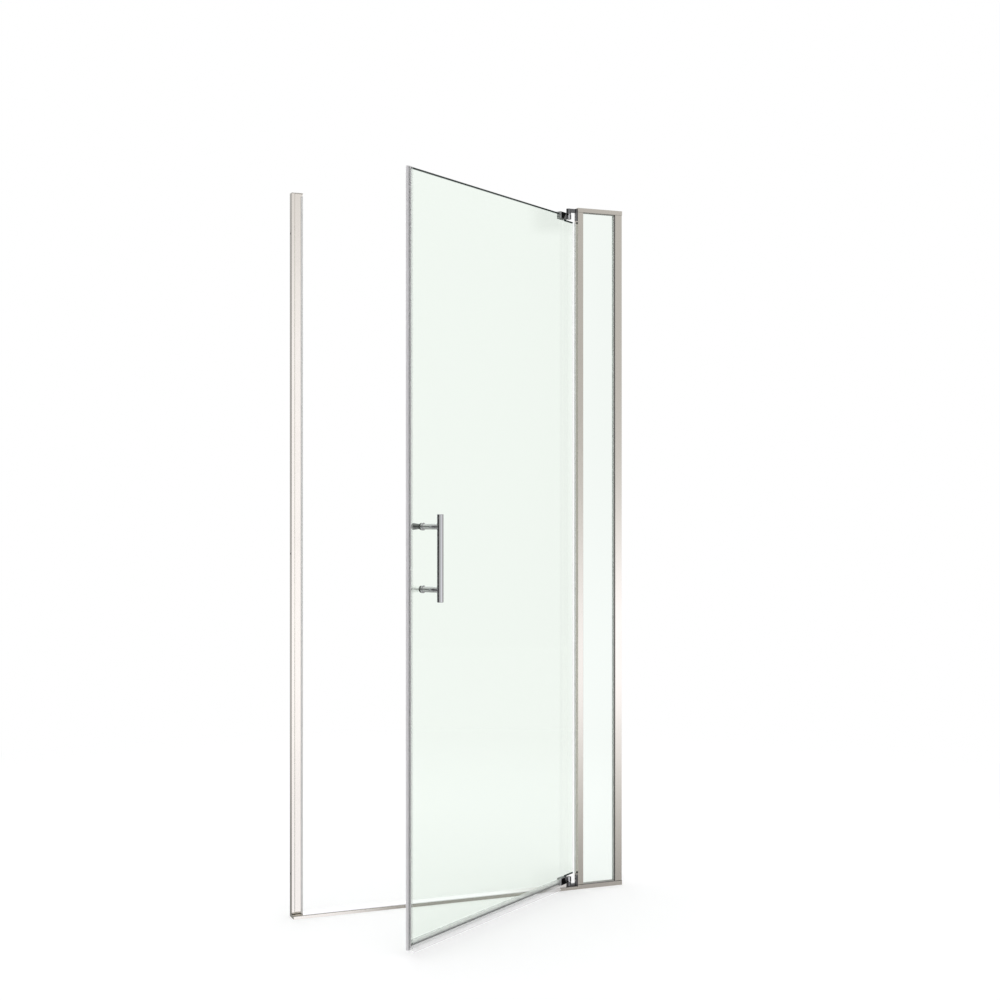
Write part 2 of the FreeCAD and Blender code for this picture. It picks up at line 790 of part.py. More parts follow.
def pivot_bracket(label, arm, boss, flange, free_end, screws):
    """An arm with a round boss on the pivot axis, on a flange that is screwed to the post."""
    body = piece(label)
    pad(body, "XY", *arm, [[
        ("post_left", "arm_half"),
        ("pivot_x", "arm_half"),
        ("pivot_x - arm_half", "0", "arm_half", LEFT),
        ("pivot_x", "-arm_half", "arm_half", LEFT),
        ("post_left", "-arm_half"),
    ]])
    pad(body, "YZ", "flange_face", "post_left", [
        rectangle("-flange_front", flange[0], "flange_back", flange[1]),
    ])
    pad(body, "XY", *boss, circles=[("pivot_x", "0", "boss_radius")])
    round_edges(body, "flange_round", lambda middle, direction:
                near(middle.x, "flange_face + flange_thickness / 2") and near(middle.z, free_end))
    cut(body, "XY", f"{boss[0]} - cut_overrun", f"{boss[1]} + cut_overrun",
        circles=[("pivot_x", "0", "pin_radius + pin_press")])
    cut(body, "YZ", "flange_face - cut_overrun", "post_left + cut_overrun",
        circles=[(y, z, SCREW_HOLE) for y, z in screws])
    cut(body, "YZ", "flange_face - cut_overrun", "flange_face + screw_head_height",
        circles=[(y, z, "screw_head_radius + screw_fit") for y, z in screws])


def pivot_pin(label, fixed_end, bush_end, tip_sign):
    """A pin from the far side of its boss into the bush, with a chamfered tip."""
    body = piece(label)
    turn(body, "Z", ("pivot_x", "0", "0"), [
        ("0", fixed_end),
        ("pin_radius", fixed_end),
        ("pin_radius", f"{bush_end} {tip_sign} pin_chamfer"),
        ("pin_radius - pin_chamfer", bush_end),
        ("0", bush_end),
    ])


def pivots():
    lower_screws = bracket_screws()[:2]
    upper_screws = bracket_screws()[2:]
    pivot_bracket("lower_pivot_bracket", ("lower_arm_bottom", "lower_arm_top"),
                  ("lower_arm_bottom", "lower_boss_top"),
                  ("lower_arm_bottom", "lower_clamp_top - flange_margin"),
                  "lower_clamp_top - flange_margin", lower_screws)
    pivot_bracket("upper_pivot_bracket", ("upper_arm_bottom", "upper_arm_top"),
                  ("upper_boss_bottom", "upper_arm_top"),
                  ("upper_clamp_bottom + flange_margin", "upper_arm_top"),
                  "upper_clamp_bottom + flange_margin", upper_screws)
    pivot_pin("lower_pivot_pin", "lower_arm_bottom", "lower_clamp_bottom + pin_reach", "-")
    pivot_pin("upper_pivot_pin", "upper_arm_top", "upper_clamp_top - pin_reach", "+")
    for side, screws in (("lower", lower_screws), ("upper", upper_screws)):
        group(f"{side}_bracket_screws", [
            pan_screw(f"{side}_bracket_screw_{number}", "X", ("flange_face + screw_head_height", y, z), "-",
                      "bracket_screw_length", JAMB_SCREW)
            for number, (y, z) in enumerate(screws, start=1)
        ])


# Door glass, drawn closed about the pivot axis like all that swings

def door_glass():
    low_notch = "door_bottom + notch_depth"
    high_notch = "door_top - notch_depth"
    body = piece("door_glass", swings=True)
    pad(body, "XZ", "-glass_half", "glass_half", [[
        ("free_edge", "door_bottom"),
        ("notch_line", "door_bottom"),
        ("notch_line", low_notch),
        ("hinge_edge", low_notch),
        ("hinge_edge", high_notch),
        ("notch_line", high_notch),
        ("notch_line", "door_top"),
        ("free_edge", "door_top"),
    ]])
    round_edges(body, "edge_round", lambda middle, direction: abs(direction.x) > abs(direction.y))
    holes = [("handle_x", height, "handle_hole_radius") for height in handle_heights()]
    for height in ("door_bottom + clamp_screw_height", "door_top - clamp_screw_height"):
        for reach in ("-clamp_screw_near", "-clamp_screw_far"):
            holes.append((reach, height, "glass_hole_radius"))
    cut(body, "XZ", "-glass_half - cut_overrun", "glass_half + cut_overrun", circles=holes)


# Seals on the door glass

def door_seals():
    magnet = rectangle("magnet_line - magnet_size / 2", "-magnet_size / 2",
                       "magnet_line + magnet_size / 2", "magnet_size / 2")
    leg_end = "free_edge + seal_leg"
    bottom = "sill_height + seal_floor_gap"
    body = piece("door_edge_seal", swings=True)
    pad(body, "XY", bottom, "door_top", [
        [
            (leg_end, "-glass_half"),
            ("free_edge", "-glass_half"),
            ("free_edge", "glass_half"),
            (leg_end, "glass_half"),
            (leg_end, "seal_half"),
            ("seal_nose", "seal_half"),
            ("seal_nose", "-seal_half"),
            (leg_end, "-seal_half"),
        ],
        magnet,
        rectangle("magnet_line + magnet_size / 2 + seal_wall", "-glass_half",
                  "free_edge - seal_wall", "glass_half"),
    ])
    round_edges(body, "seal_round", lambda middle, direction:
                near(middle.x, "seal_nose") and abs(direction.z) > abs(direction.y))
    body = piece("door_magnet_strip", swings=True)
    pad(body, "XY", bottom, "door_top", [magnet])

    body = piece("door_sweep", swings=True)
    pad(body, "YZ", leg_end, "-clamp_reach", [[
        ("glass_half", "door_bottom"),
        ("glass_half", "door_bottom + sweep_leg"),
        ("sweep_half", "door_bottom + sweep_leg"),
        ("sweep_half", "sweep_bottom"),
        ("fin_flare", "fin_bottom"),
        ("fin_flare - fin_wall", "fin_bottom"),
        ("0", "sweep_bottom - sweep_web"),
        ("fin_wall - fin_flare", "fin_bottom"),
        ("-fin_flare", "fin_bottom"),
        ("-sweep_half", "sweep_bottom"),
        ("-sweep_half", "door_bottom + sweep_leg"),
        ("-glass_half", "door_bottom + sweep_leg"),
        ("-glass_half", "door_bottom"),
    ]])


# Glass clamps, with the bushes that turn on the pins

def clamp_plate(label, sign, outline):
    """A plate along the glass, drawn as seen from the front; sign is its side of the glass."""
    outer = f"{sign}plate_out"
    body = piece(label, swings=True)
    pad(body, "XZ", *sorted((outer, f"{sign}plate_in"), key=value), [outline])
    round_edges(body, "clamp_round", lambda middle, direction: near(middle.y, outer))
    return body


def clamp(side, near_end, far_end, barrel, lip, bush, screw_z, glass_edge):
    """Both plates, gaskets, screws and bush; the near end is the one next to the bracket."""
    barrel_end = bush[1]
    block = rectangle("-clamp_reach", far_end, "-clamp_grip", near_end)
    outer = clamp_plate(f"{side}_clamp_outer", "-", block)
    inner = clamp_plate(f"{side}_clamp_inner", "+", [
        ("-clamp_reach", far_end),
        ("-clamp_grip", far_end),
        ("-clamp_grip", barrel_end),
        ("0", barrel_end),
        ("0", near_end),
        ("-clamp_reach", near_end),
    ])
    pad(inner, "XY", *barrel, circles=[("0", "0", "barrel_radius")])
    pad(inner, "XY", *lip, [rectangle("-clamp_reach", "-plate_in", "0", "plate_in")])
    cut(inner, "XY", *barrel, circles=[("0", "0", "bush_bore")])
    reaches = ("-clamp_screw_near", "-clamp_screw_far")
    cut(outer, "XZ", "-plate_in - clamp_screw_bite - screw_fit", "-plate_in",
        circles=[(reach, screw_z, "clamp_screw_radius + screw_fit") for reach in reaches])
    cut(inner, "XZ", "plate_in - cut_overrun", "plate_out + cut_overrun",
        circles=[(reach, screw_z, "clamp_screw_radius + screw_fit") for reach in reaches])

    sheets = []
    for face, start, end in (("outer", "-plate_in", "-glass_half"), ("inner", "glass_half", "plate_in")):
        gasket = piece(f"{side}_clamp_gasket_{face}", swings=True)
        pad(gasket, "XZ", start, end,
            [rectangle("-clamp_reach", glass_edge, "notch_line", far_end)],
            [(reach, screw_z, "glass_hole_radius") for reach in reaches])
        sheets.append(gasket)
    group(f"{side}_clamp_gaskets", sheets)

    group(f"{side}_clamp_screws", [
        pan_screw(f"{side}_clamp_screw_{number}", "Y", (reach, "plate_out", screw_z), "+",
                  "plate_out + plate_in + clamp_screw_bite", CLAMP_SCREW, swings=True)
        for number, reach in enumerate(reaches, start=1)
    ])

    flange, deep_end = bush
    bore = "pin_radius + pin_clearance"
    body = piece(f"{side}_pivot_bush", swings=True)
    turn(body, "Z", ("0", "0", "0"), [
        (bore, flange),
        ("bush_flange_radius", flange),
        ("bush_flange_radius", near_end),
        ("bush_radius", near_end),
        ("bush_radius", deep_end),
        (bore, deep_end),
    ])


def clamps():
    upper_barrel_end = "upper_clamp_top - barrel_height"
    lower_barrel_end = "lower_clamp_bottom + barrel_height"
    clamp("upper", "upper_clamp_top", "upper_clamp_bottom",
          (upper_barrel_end, "upper_clamp_top"), ("door_top", "upper_clamp_top"),
          ("upper_clamp_top + bush_flange", upper_barrel_end), "door_top - clamp_screw_height", "door_top")
    clamp("lower", "lower_clamp_bottom", "lower_clamp_top",
          ("lower_clamp_bottom", lower_barrel_end), ("lower_clamp_bottom", "door_bottom"),
          ("lower_clamp_bottom - bush_flange", lower_barrel_end), "door_bottom + clamp_screw_height",
          "door_bottom")


# Handle: a bar on two posts outside, a tapered knob on each stud inside

def handle_heights():
    return "handle_height - handle_centres / 2", "handle_height + handle_centres / 2"


def handle():
    low, high = "handle_height - bar_length / 2", "handle_height + bar_length / 2"
    body = piece("handle_bar", swings=True)
    turn(body, "Z", ("handle_x", "bar_y", "0"), [
        ("0", low),
        ("bar_radius - bar_chamfer", low),
        ("bar_radius", f"{low} + bar_chamfer"),
        ("bar_radius", f"{high} - bar_chamfer"),
        ("bar_radius - bar_chamfer", high),
        ("0", high),
    ])
    cut(body, "XZ", "bar_y", "bar_y + bar_radius + cut_overrun",
        circles=[("handle_x", height, "stud_bore") for height in handle_heights()])

    studs, washers, sleeves = [], [], []
    for side, height in zip(("lower", "upper"), handle_heights()):
        place = ("handle_x", "0", height)
        body = piece(f"{side}_handle_post", swings=True)
        turn(body, "Y", place, [
            ("stud_bore", "-washer_out"),
            ("stud_bore", "bar_y"),
            ("handle_post_radius", "bar_y"),
            ("handle_post_radius", "-washer_out - collar_height"),
            ("collar_radius", "-washer_out - collar_height"),
            ("collar_radius", "-washer_out"),
        ])
        cut(body, "XY", f"{height} - collar_radius", f"{height} + collar_radius",
            circles=[("handle_x", "bar_y", "bar_radius")])

        body = piece(f"{side}_inner_knob", swings=True)
        rim = "washer_out + knob_length - knob_rim"
        tip = "washer_out + knob_length"
        turn(body, "Y", place, [
            ("stud_bore", "washer_out"),
            ("knob_root_radius", "washer_out"),
            ("knob_tip_radius", rim),
            ("knob_tip_radius - knob_groove", rim),
            ("knob_tip_radius - knob_groove", f"{rim} + knob_groove"),
            ("knob_tip_radius", f"{rim} + knob_groove"),
            ("knob_tip_radius", f"{tip} - knob_chamfer"),
            ("knob_tip_radius - knob_chamfer", tip),
            ("0", tip),
            ("0", "washer_out + stud_bite"),
            ("stud_bore", "washer_out + stud_bite"),
        ])

        stud = piece(f"{side}_handle_stud", swings=True)
        turn(stud, "Y", place, [
            ("0", "bar_y"),
            ("stud_radius", "bar_y"),
            ("stud_radius", "washer_out + stud_bite"),
            ("0", "washer_out + stud_bite"),
        ])
        studs.append(stud)

        for face, near_side, far_side, radius in (
            ("outer", "-washer_out", "-glass_half", "collar_radius"),
            ("inner", "glass_half", "washer_out", "knob_tip_radius"),
        ):
            washer = piece(f"{side}_washer_{face}", swings=True)
            turn(washer, "Y", place, [
                ("stud_bore", near_side),
                (radius, near_side),
                (radius, far_side),
                ("stud_bore", far_side),
            ])
            washers.append(washer)

        sleeve = piece(f"{side}_sleeve", swings=True)
        turn(sleeve, "Y", place, [
            ("stud_bore", "-glass_half"),
            ("handle_hole_radius - sleeve_fit", "-glass_half"),
            ("handle_hole_radius - sleeve_fit", "glass_half"),
            ("stud_bore", "glass_half"),
        ])
        sleeves.append(sleeve)
    group("handle_studs", studs)
    group("handle_washers", washers)
    group("handle_sleeves", sleeves)


def check_and_write():
    """Every object has to be sound before any file is written."""
    doc.recompute()
    for item in doc.Objects:
        if "Invalid" in item.State or "Error" in item.State:
            raise RuntimeError(f"{item.Label} failed: {item.State}")
    for item in pieces:
        if item.Shape.isNull() or not item.Shape.isValid():
            raise RuntimeError(f"{item.Label} has no valid shape")
    os.makedirs("parts", exist_ok=True)
    for item in pieces:
        item.Shape.exportStep(f"parts/{item.Label}.step")
        print(item.Label, len(item.Shape.Solids), round(item.Shape.Volume))


left_side()
right_side()
fixed_panel()
sill()
pivots()
door_glass()
door_seals()
clamps()
handle()
check_and_write()
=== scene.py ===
import math

import bmesh
import bpy
from mathutils import Matrix, Vector


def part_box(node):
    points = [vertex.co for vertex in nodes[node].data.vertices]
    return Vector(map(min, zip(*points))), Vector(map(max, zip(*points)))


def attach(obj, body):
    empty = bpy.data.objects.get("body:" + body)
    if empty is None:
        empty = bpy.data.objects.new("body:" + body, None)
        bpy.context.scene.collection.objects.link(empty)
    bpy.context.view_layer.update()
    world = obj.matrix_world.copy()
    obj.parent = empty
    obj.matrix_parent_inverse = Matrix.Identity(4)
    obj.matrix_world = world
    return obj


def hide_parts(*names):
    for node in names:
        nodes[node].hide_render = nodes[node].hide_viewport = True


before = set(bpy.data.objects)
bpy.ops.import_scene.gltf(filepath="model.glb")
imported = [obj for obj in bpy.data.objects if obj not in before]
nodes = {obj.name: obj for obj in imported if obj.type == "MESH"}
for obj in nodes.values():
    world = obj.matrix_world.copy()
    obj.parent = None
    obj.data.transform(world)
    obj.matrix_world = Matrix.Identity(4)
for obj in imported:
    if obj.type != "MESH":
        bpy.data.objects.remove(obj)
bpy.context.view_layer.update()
scene = bpy.context.scene
scene.view_settings.view_transform = "Standard"

WHITE = (1, 1, 1, 1)
DEGREES = 180 / math.pi

# Camera at the photograph's viewpoint: level, looking to the right of straight ahead
IMAGE_WIDTH = 1000
FOCAL_PIXELS = 1532.8
SENSOR_WIDTH = 36
CAMERA_PLACE = (-1.4364, -3.7396, 1.0454)
CAMERA_YAW = 22.39
CLIP_START, CLIP_END = 0.05, 100

# Directions of the frame, and the open door's own: along the glass to the hinge, and through the glass
BACK, LEFT = Vector((0, 1, 0)), Vector((-1, 0, 0))
UP, DOWN = Vector((0, 0, 1)), Vector((0, 0, -1))
DOOR_ANGLE = math.radians(35)
PIVOT = Vector((0.30375, 0, 0))
DOOR_ALONG = Vector((math.cos(DOOR_ANGLE), math.sin(DOOR_ANGLE), 0))
DOOR_THROUGH = Vector((-math.sin(DOOR_ANGLE), math.cos(DOOR_ANGLE), 0))

# Nodes that are named more than once below
RIGHT_UPRIGHTS = ("right_wall_profile", "panel_jamb", "hinge_post")
CLAMPS = ("upper_clamp_outer", "upper_clamp_inner", "lower_clamp_outer", "lower_clamp_inner")
GASKETS = (
    "upper_clamp_gaskets", "lower_clamp_gaskets", "post_glazing_gasket", "top_glazing_gasket",
    "bottom_glazing_gasket",
)
SEALS = ("hinge_post_seal", "door_edge_seal", "door_sweep", "strike_magnet_seal")
MAGNETS = ("strike_magnet_strip", "door_magnet_strip")
WASHERS = ("handle_washers", "handle_sleeves")

# Screw nodes, with the body they ride on and the way their heads look
SCREWS = {
    "left_jamb_screws": ("frame", BACK),
    "right_jamb_screws": ("frame", BACK),
    "top_rail_screws": ("frame", UP),
    "bottom_rail_screws": ("frame", DOWN),
    "upper_bracket_screws": ("frame", LEFT),
    "lower_bracket_screws": ("frame", LEFT),
    "upper_clamp_screws": ("door", DOOR_THROUGH),
    "lower_clamp_screws": ("door", DOOR_THROUGH),
}

# The span that most values of a noise are in
NOISE = (0.3, 0.7)

# Brushed metal's streaks in tone, roughness and relief, its handling marks, and polished metal's wiping marks
NICKEL = (0.66, 0.62, 0.56)
NICKEL_ROUGHNESS, NICKEL_BUMP = 0.09, 0.03
UPRIGHT_GRAIN, LEVEL_GRAIN = (1500, 1500, 12), (12, 1500, 1500)
STREAK_DETAIL, STREAK_FINENESS, STREAK_TONE = 6.0, 0.65, (0.965, 1.035)
STREAK_ROUGHNESS, STREAK_DEPTH = 0.03, 0.0001
MARK_SCALE, MARK_DETAIL, MARK_ROUGHNESS = 9.0, 3.0, (0.45, 0.75, 0.0, 0.03)
WIPE_SCALE, WIPE_DETAIL, WIPE_LEAST, WIPE_MOST = 180.0, 4.0, 0.7, 1.4

# Heights beyond which an upright is darkened by painted shade, as falls in a joint: on the sill at the left,
# at both rails at the right
LEFT_JOINT_SHADE = (0.0097, 2.0)
RIGHT_JOINT_SHADE = (0.0128, 1.8182)
JOINT_SHADE_TONE = 0.25

# Painted shade in lines along the front edge of sill and bottom rail, for the edge's darker reflection: in
# front of a depth, above a height, with a tone
SILL_RIM_SHADE = (-0.0055, 0.0066, 0.55)
RAIL_RIM_SHADE = (-0.0072, 0.0112, 0.2)

# Glass: its waviness, the door glass's level edges, their notches at the hinge, and the strip of painted
# shade next to them, where the dark edge shows through the glass
GLASS_INDEX = 1.45
WAVE_SCALE, WAVE_DETAIL, WAVE_BUMP, WAVE_DEPTH = 4.0, 1.0, 0.05, 0.001
DOOR_BOTTOM, DOOR_TOP = (corner.z for corner in map(Vector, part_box("door_glass")))
NOTCH_LINE, NOTCH_DEPTH = -0.0265, 0.014
EDGE_SHADE_STRIP = 0.0045
EDGE_GREEN = (0.015, 0.026, 0.022)

# Soft plastic and rubber: cloudiness, grain, and the sweep's tone by height, whose dark band near the glass's
# bottom edge is painted shade
FILM_ROUGHNESS = 0.3
CLOUD_SCALE, CLOUD_DETAIL, CLOUD_TONE = 60.0, 3.0, (0.985, 1.015)
GRAIN_DETAIL, GRAIN_TONE, GRAIN_BUMP, GRAIN_DEPTH = 5.0, (0.94, 1.06), 0.15, 0.0002
SWEEP_TOP = 0.04
# The dark band from about 20 to 29 mm up is painted shade along the glass's bottom edge
SWEEP_TONES_AND_SHADE = (
    (0.008, (0.99, 0.98, 0.98)), (0.0172, (0.97, 0.96, 0.96)), (0.0195, (0.58, 0.58, 0.58)),
    (0.022, (0.25, 0.26, 0.25)), (0.0255, (0.42, 0.43, 0.42)), (0.029, (0.78, 0.80, 0.78)),
    (0.036, (0.95, 0.97, 0.95)),
)

# How far a face looks a given way, from 0 to 1, to get a further finish or not
SIDE_FACE, EDGE_FACE, NOSE_FACE, RETURN_FACE, END_FACE = 0.98, 0.5, 0.4, 0.8, 0.6

# How far soft pieces are drawn in, so that they don't share a face with what they touch
SOFT_DRAW = 0.00004

# Screws: share of the widest radius that counts as head, smallest step, turn from one to the next, sharpness
HEAD_SHARE, SCREW_STEP, SCREW_TURN, SCREW_SHARP = 0.8, 0.0004, 1.1, math.radians(35)
POINT_DIGITS = 6
# The cross recess: an arm's length and half width as shares of the head, depth, and share at the bottom
CROSS_LENGTH, CROSS_HALF, CROSS_DEPTH, CROSS_TAPER = 0.56, 0.16, 0.0011, 0.6
# A domed head's outline in shares of its height and radius, and the tip as a share of the shank
PAN_HEAD = ((1.0, 0.66), (0.93, 0.80), (0.78, 0.91), (0.55, 0.98), (0.3, 1.0), (0.0, 1.0))
TIP_SHARE = 0.8

# Floor: size, paint, what is added where it is seen, and the distances over which it turns to plain white
FLOOR_SIDES, FLOOR_RADIUS = 96, 7
FLOOR_PAINT = (0.7, 0.7, 0.7, 1)
FLOOR_LIFT = 0.335
FLOOR_FADE = (1.2, 3.0, 0.0, 1.0)

# The room's brightness by the angle round from straight in front, in degrees, positive to the right
ROOM = (
    (-180, 0.3), (-168, 0.44), (-160, 0.6), (-149, 0.6), (-146, 0.02), (-136, 0.01), (-64, 0.01), (-55, 0.72),
    (0, 0.74), (24.5, 0.68), (25.6, 0.68), (27.2, 0.79), (32, 0.74), (40, 0.74), (52, 0.92), (80, 0.92),
    (88, 0.62), (104, 0.62), (120, 0.4), (150, 0.3), (180, 0.3),
)
# The same for the light behind the object
BEHIND = (
    (-180, 1.0), (-172, 1.0), (-168, 0), (154.5, 0), (157.5, 0.86), (162, 0.86), (164.5, 1.0), (180, 1.0),
)
# The studio's lights: between two angles, round or upwards, each goes from the third number to the fourth
ROOM_LOW = (-16, -8, 0.52, 1.0)
ROOM_STEEP, ROOM_MIDDLE, STEEP_GREY = (11, 21, 0.0, 1.0), 2.0, (0.78, 0.78, 0.78, 1)
BEHIND_LOW, BEHIND_HIGH = (-6, 0, 0.1, 1.15), (24, 40, 1.0, 0.0)
GROUND = (-36, -20, 0.62, 0.0)
BOX_LEFT, BOX_RIGHT = (-3, 4, 0.0, 0.79), (16.5, 18.5, 1.0, 0.0)
BOX_LOW, BOX_HIGH = (-16, -10, 1.4, 1.0), (4, 14, 1.0, 0.36)
BAND_LEFT, BAND_RIGHT = (20.5, 27.0, 0.1, 1.0), (31, 42, 1.0, 0.0)
BAND_DROP, BAND_HEIGHT = (25.4, 27.4, 6.2, 5.0), 5.2
TOP = (28, 55, 0.0, 0.42)
CARD_LEFT, CARD_RIGHT = (93.4, 94.0, 0.0, 1.0), (103, 104, 1.0, 0.0)
CARD_STEEP, CARD_MIDDLE = (11.5, 11.9, 0.0, 0.95), 1.75
FRONT_TINT, BEHIND_TINT = (0.98, 0.99, 1.07, 1), (0.97, 1.0, 1.10, 1)


class Nodes:
    """A node tree with short calls for the kinds of node used here."""

    def __init__(self, tree):
        self.tree = tree
        tree.nodes.clear()

    def set(self, socket, given):
        if isinstance(given, bpy.types.NodeSocket):
            self.tree.links.new(given, socket)
        else:
            socket.default_value = given

    def add(self, kind, **inputs):
        node = self.tree.nodes.new(kind)
        for name, given in inputs.items():
            self.set(node.inputs[name.replace("_", " ")], given)
        return node

    def operate(self, kind, operation, inputs):
        node = self.tree.nodes.new(kind)
        node.operation = operation
        for socket, given in zip(node.inputs, inputs):
            self.set(socket, given)
        return node

    def math(self, operation, *inputs):
        return self.operate("ShaderNodeMath", operation, inputs).outputs[0]

    def measure(self, operation, *inputs):
        """A number from vectors."""
        return self.operate("ShaderNodeVectorMath", operation, inputs).outputs["Value"]

    def product(self, first, *others):
        for other in others:
            first = self.math("MULTIPLY", first, other)
        return first

    def total(self, first, *others):
        for other in others:
            first = self.math("ADD", first, other)
        return first

    def spread(self, given, low, high, first, last, smooth=False):
        """The given value, taken from low-high to first-last and held beyond them."""
        node = self.add("ShaderNodeMapRange", Value=given)
        node.interpolation_type = "SMOOTHSTEP" if smooth else "LINEAR"
        for name, number in (("From Min", low), ("From Max", high), ("To Min", first), ("To Max", last)):
            node.inputs[name].default_value = number
        return node.outputs["Result"]

    def ramp(self, given, stops):
        node = self.add("ShaderNodeValToRGB", Fac=given)
        elements = node.color_ramp.elements
        while len(elements) > 1:
            elements.remove(elements[-1])
        for index, (place, colour) in enumerate(stops):
            element = elements[0] if index == 0 else elements.new(place)
            element.position = place
            element.color = (*colour, 1)
        return node.outputs["Color"]

    def mix_colour(self, blend, amount, first, second):
        node = self.tree.nodes.new("ShaderNodeMix")
        node.data_type = "RGBA"
        node.blend_type = blend
        for index, given in ((0, amount), (6, first), (7, second)):
            self.set(node.inputs[index], given)
        return node.outputs[2]

    def mix_shader(self, amount, first, second):
        node = self.tree.nodes.new("ShaderNodeMixShader")
        for socket, given in zip(node.inputs, (amount, first, second)):
            self.set(socket, given)
        return node.outputs[0]

    def place(self):
        return self.add("ShaderNodeTexCoord").outputs["Object"]

    def parts(self, vector):
        return self.add("ShaderNodeSeparateXYZ", Vector=vector).outputs

    def noise(self, place, scale, detail, **more):
        return self.add("ShaderNodeTexNoise", Vector=place, Scale=scale, Detail=detail, **more).outputs["Fac"]

    def relief(self, height, strength, depth):
        return self.add("ShaderNodeBump", Height=height, Strength=strength, Distance=depth).outputs["Normal"]


def new_material(name, **values):
    """A material with one main shader, whose sockets get the given values."""
    material = bpy.data.materials.new(name)
    material.use_nodes = True
    tree = Nodes(material.node_tree)
    output = tree.add("ShaderNodeOutputMaterial")
    shader = tree.add("ShaderNodeBsdfPrincipled", **values)
    tree.set(output.inputs["Surface"], shader.outputs["BSDF"])
    return material, tree, shader.inputs


def brushed(name, colour, roughness, stretch, bump, joint_shade_heights=None, painted_rim_shade=None):
    """Metal brushed along one way: fine streaks in tone, roughness and relief, and faint handling marks.
    Beyond the two given heights it is darkened by painted shade, as falls in the joints, and so is the given
    line along its front, by painted shade for the edge's darker reflection."""
    material, tree, sockets = new_material(name, Metallic=1)
    place = tree.place()
    stretched = tree.add("ShaderNodeMapping", Vector=place, Scale=stretch).outputs["Vector"]
    streaks = tree.noise(stretched, 1.0, STREAK_DETAIL, Roughness=STREAK_FINENESS)
    marks = tree.noise(place, MARK_SCALE, MARK_DETAIL)
    tone = tree.spread(streaks, *NOISE, *STREAK_TONE)
    # Painted shade in the joints: the upright is darkened beyond the two heights
    if joint_shade_heights:
        height = tree.parts(place)["Z"]
        clear_of_joint_shade = tree.product(tree.math("GREATER_THAN", height, joint_shade_heights[0]),
                              tree.math("LESS_THAN", height, joint_shade_heights[1]))
        tone = tree.product(tone, tree.spread(clear_of_joint_shade, 0, 1, JOINT_SHADE_TONE, 1.0))
    # Painted shade along the front edge, for the edge's darker reflection
    if painted_rim_shade:
        depth, least_height, rim_shade_tone = painted_rim_shade
        where = tree.parts(place)
        in_rim_shade = tree.product(tree.math("LESS_THAN", where["Y"], depth),
                              tree.math("GREATER_THAN", where["Z"], least_height))
        tone = tree.product(tone, tree.spread(in_rim_shade, 0, 1, 1.0, rim_shade_tone))
    tree.set(sockets["Base Color"], tree.mix_colour("MULTIPLY", 1.0, (*colour, 1), tone))
    along_streaks = tree.spread(streaks, *NOISE, roughness - STREAK_ROUGHNESS, roughness + STREAK_ROUGHNESS)
    tree.set(sockets["Roughness"], tree.total(along_streaks, tree.spread(marks, *MARK_ROUGHNESS)))
    tree.set(sockets["Normal"], tree.relief(streaks, bump, STREAK_DEPTH))
    return material


def nickel(name, grain, joint_shade_heights=None, painted_rim_shade=None):
    return brushed(name, NICKEL, NICKEL_ROUGHNESS, grain, NICKEL_BUMP, joint_shade_heights, painted_rim_shade)


def polished(name, colour, roughness):
    """Polished metal with the faintest wiping marks."""
    material, tree, sockets = new_material(name, Base_Color=(*colour, 1), Metallic=1)
    marks = tree.noise(tree.place(), WIPE_SCALE, WIPE_DETAIL)
    tree.set(sockets["Roughness"], tree.spread(marks, *NOISE, roughness * WIPE_LEAST, roughness * WIPE_MOST))
    return material


def clear_glass(name, colour, edge=None):
    """Float glass with the faintest waviness; edge tells where painted shade darkens it next to its ground
    edges.
    """
    material, tree, sockets = new_material(name, Base_Color=(*colour, 1), Roughness=0, IOR=GLASS_INDEX,
                                           Transmission_Weight=1)
    place = tree.place()
    waves = tree.noise(place, WAVE_SCALE, WAVE_DETAIL)
    tree.set(sockets["Normal"], tree.relief(waves, WAVE_BUMP, WAVE_DEPTH))
    # Painted shade next to the ground edges, where the dark edge shows through the glass
    if edge:
        edge_shaded = tree.mix_colour("MIX", edge(tree, place), (*colour, 1), (*EDGE_GREEN, 1))
        tree.set(sockets["Base Color"], edge_shaded)
    return material


def level_edge_shade(tree, place):
    """1 in the narrow strip of painted shade next to the door glass's level edges, its notches at the hinge
    among them.
    """
    along = tree.measure("DOT_PRODUCT", place, DOOR_ALONG)
    reach = tree.math("SUBTRACT", along, PIVOT.dot(DOOR_ALONG))
    notch = tree.product(tree.math("GREATER_THAN", reach, NOTCH_LINE), NOTCH_DEPTH)
    height = tree.parts(place)["Z"]
    below_top = tree.math("SUBTRACT", tree.math("SUBTRACT", DOOR_TOP, notch), height)
    above_bottom = tree.math("SUBTRACT", tree.math("SUBTRACT", height, DOOR_BOTTOM), notch)
    return tree.math("LESS_THAN", tree.math("MINIMUM", below_top, above_bottom), EDGE_SHADE_STRIP)


def film(name, colour, alpha):
    """Soft clear plastic, see-through by its share of cover, with a slight cloudiness."""
    material, tree, sockets = new_material(name, Roughness=FILM_ROUGHNESS, Alpha=alpha)
    tone = tree.spread(tree.noise(tree.place(), CLOUD_SCALE, CLOUD_DETAIL), *NOISE, *CLOUD_TONE)
    tree.set(sockets["Base Color"], tree.mix_colour("MULTIPLY", 1.0, (*colour, 1), tone))
    return material


def banded_film(name, tones, top, alpha):
    """Soft clear plastic whose tone changes with the height above the ground, up to the top one."""
    material, tree, sockets = new_material(name, Roughness=FILM_ROUGHNESS, Alpha=alpha)
    share = tree.spread(tree.parts(tree.place())["Z"], 0.0, top, 0.0, 1.0)
    tree.set(sockets["Base Color"], tree.ramp(share, [(height / top, colour) for height, colour in tones]))
    return material


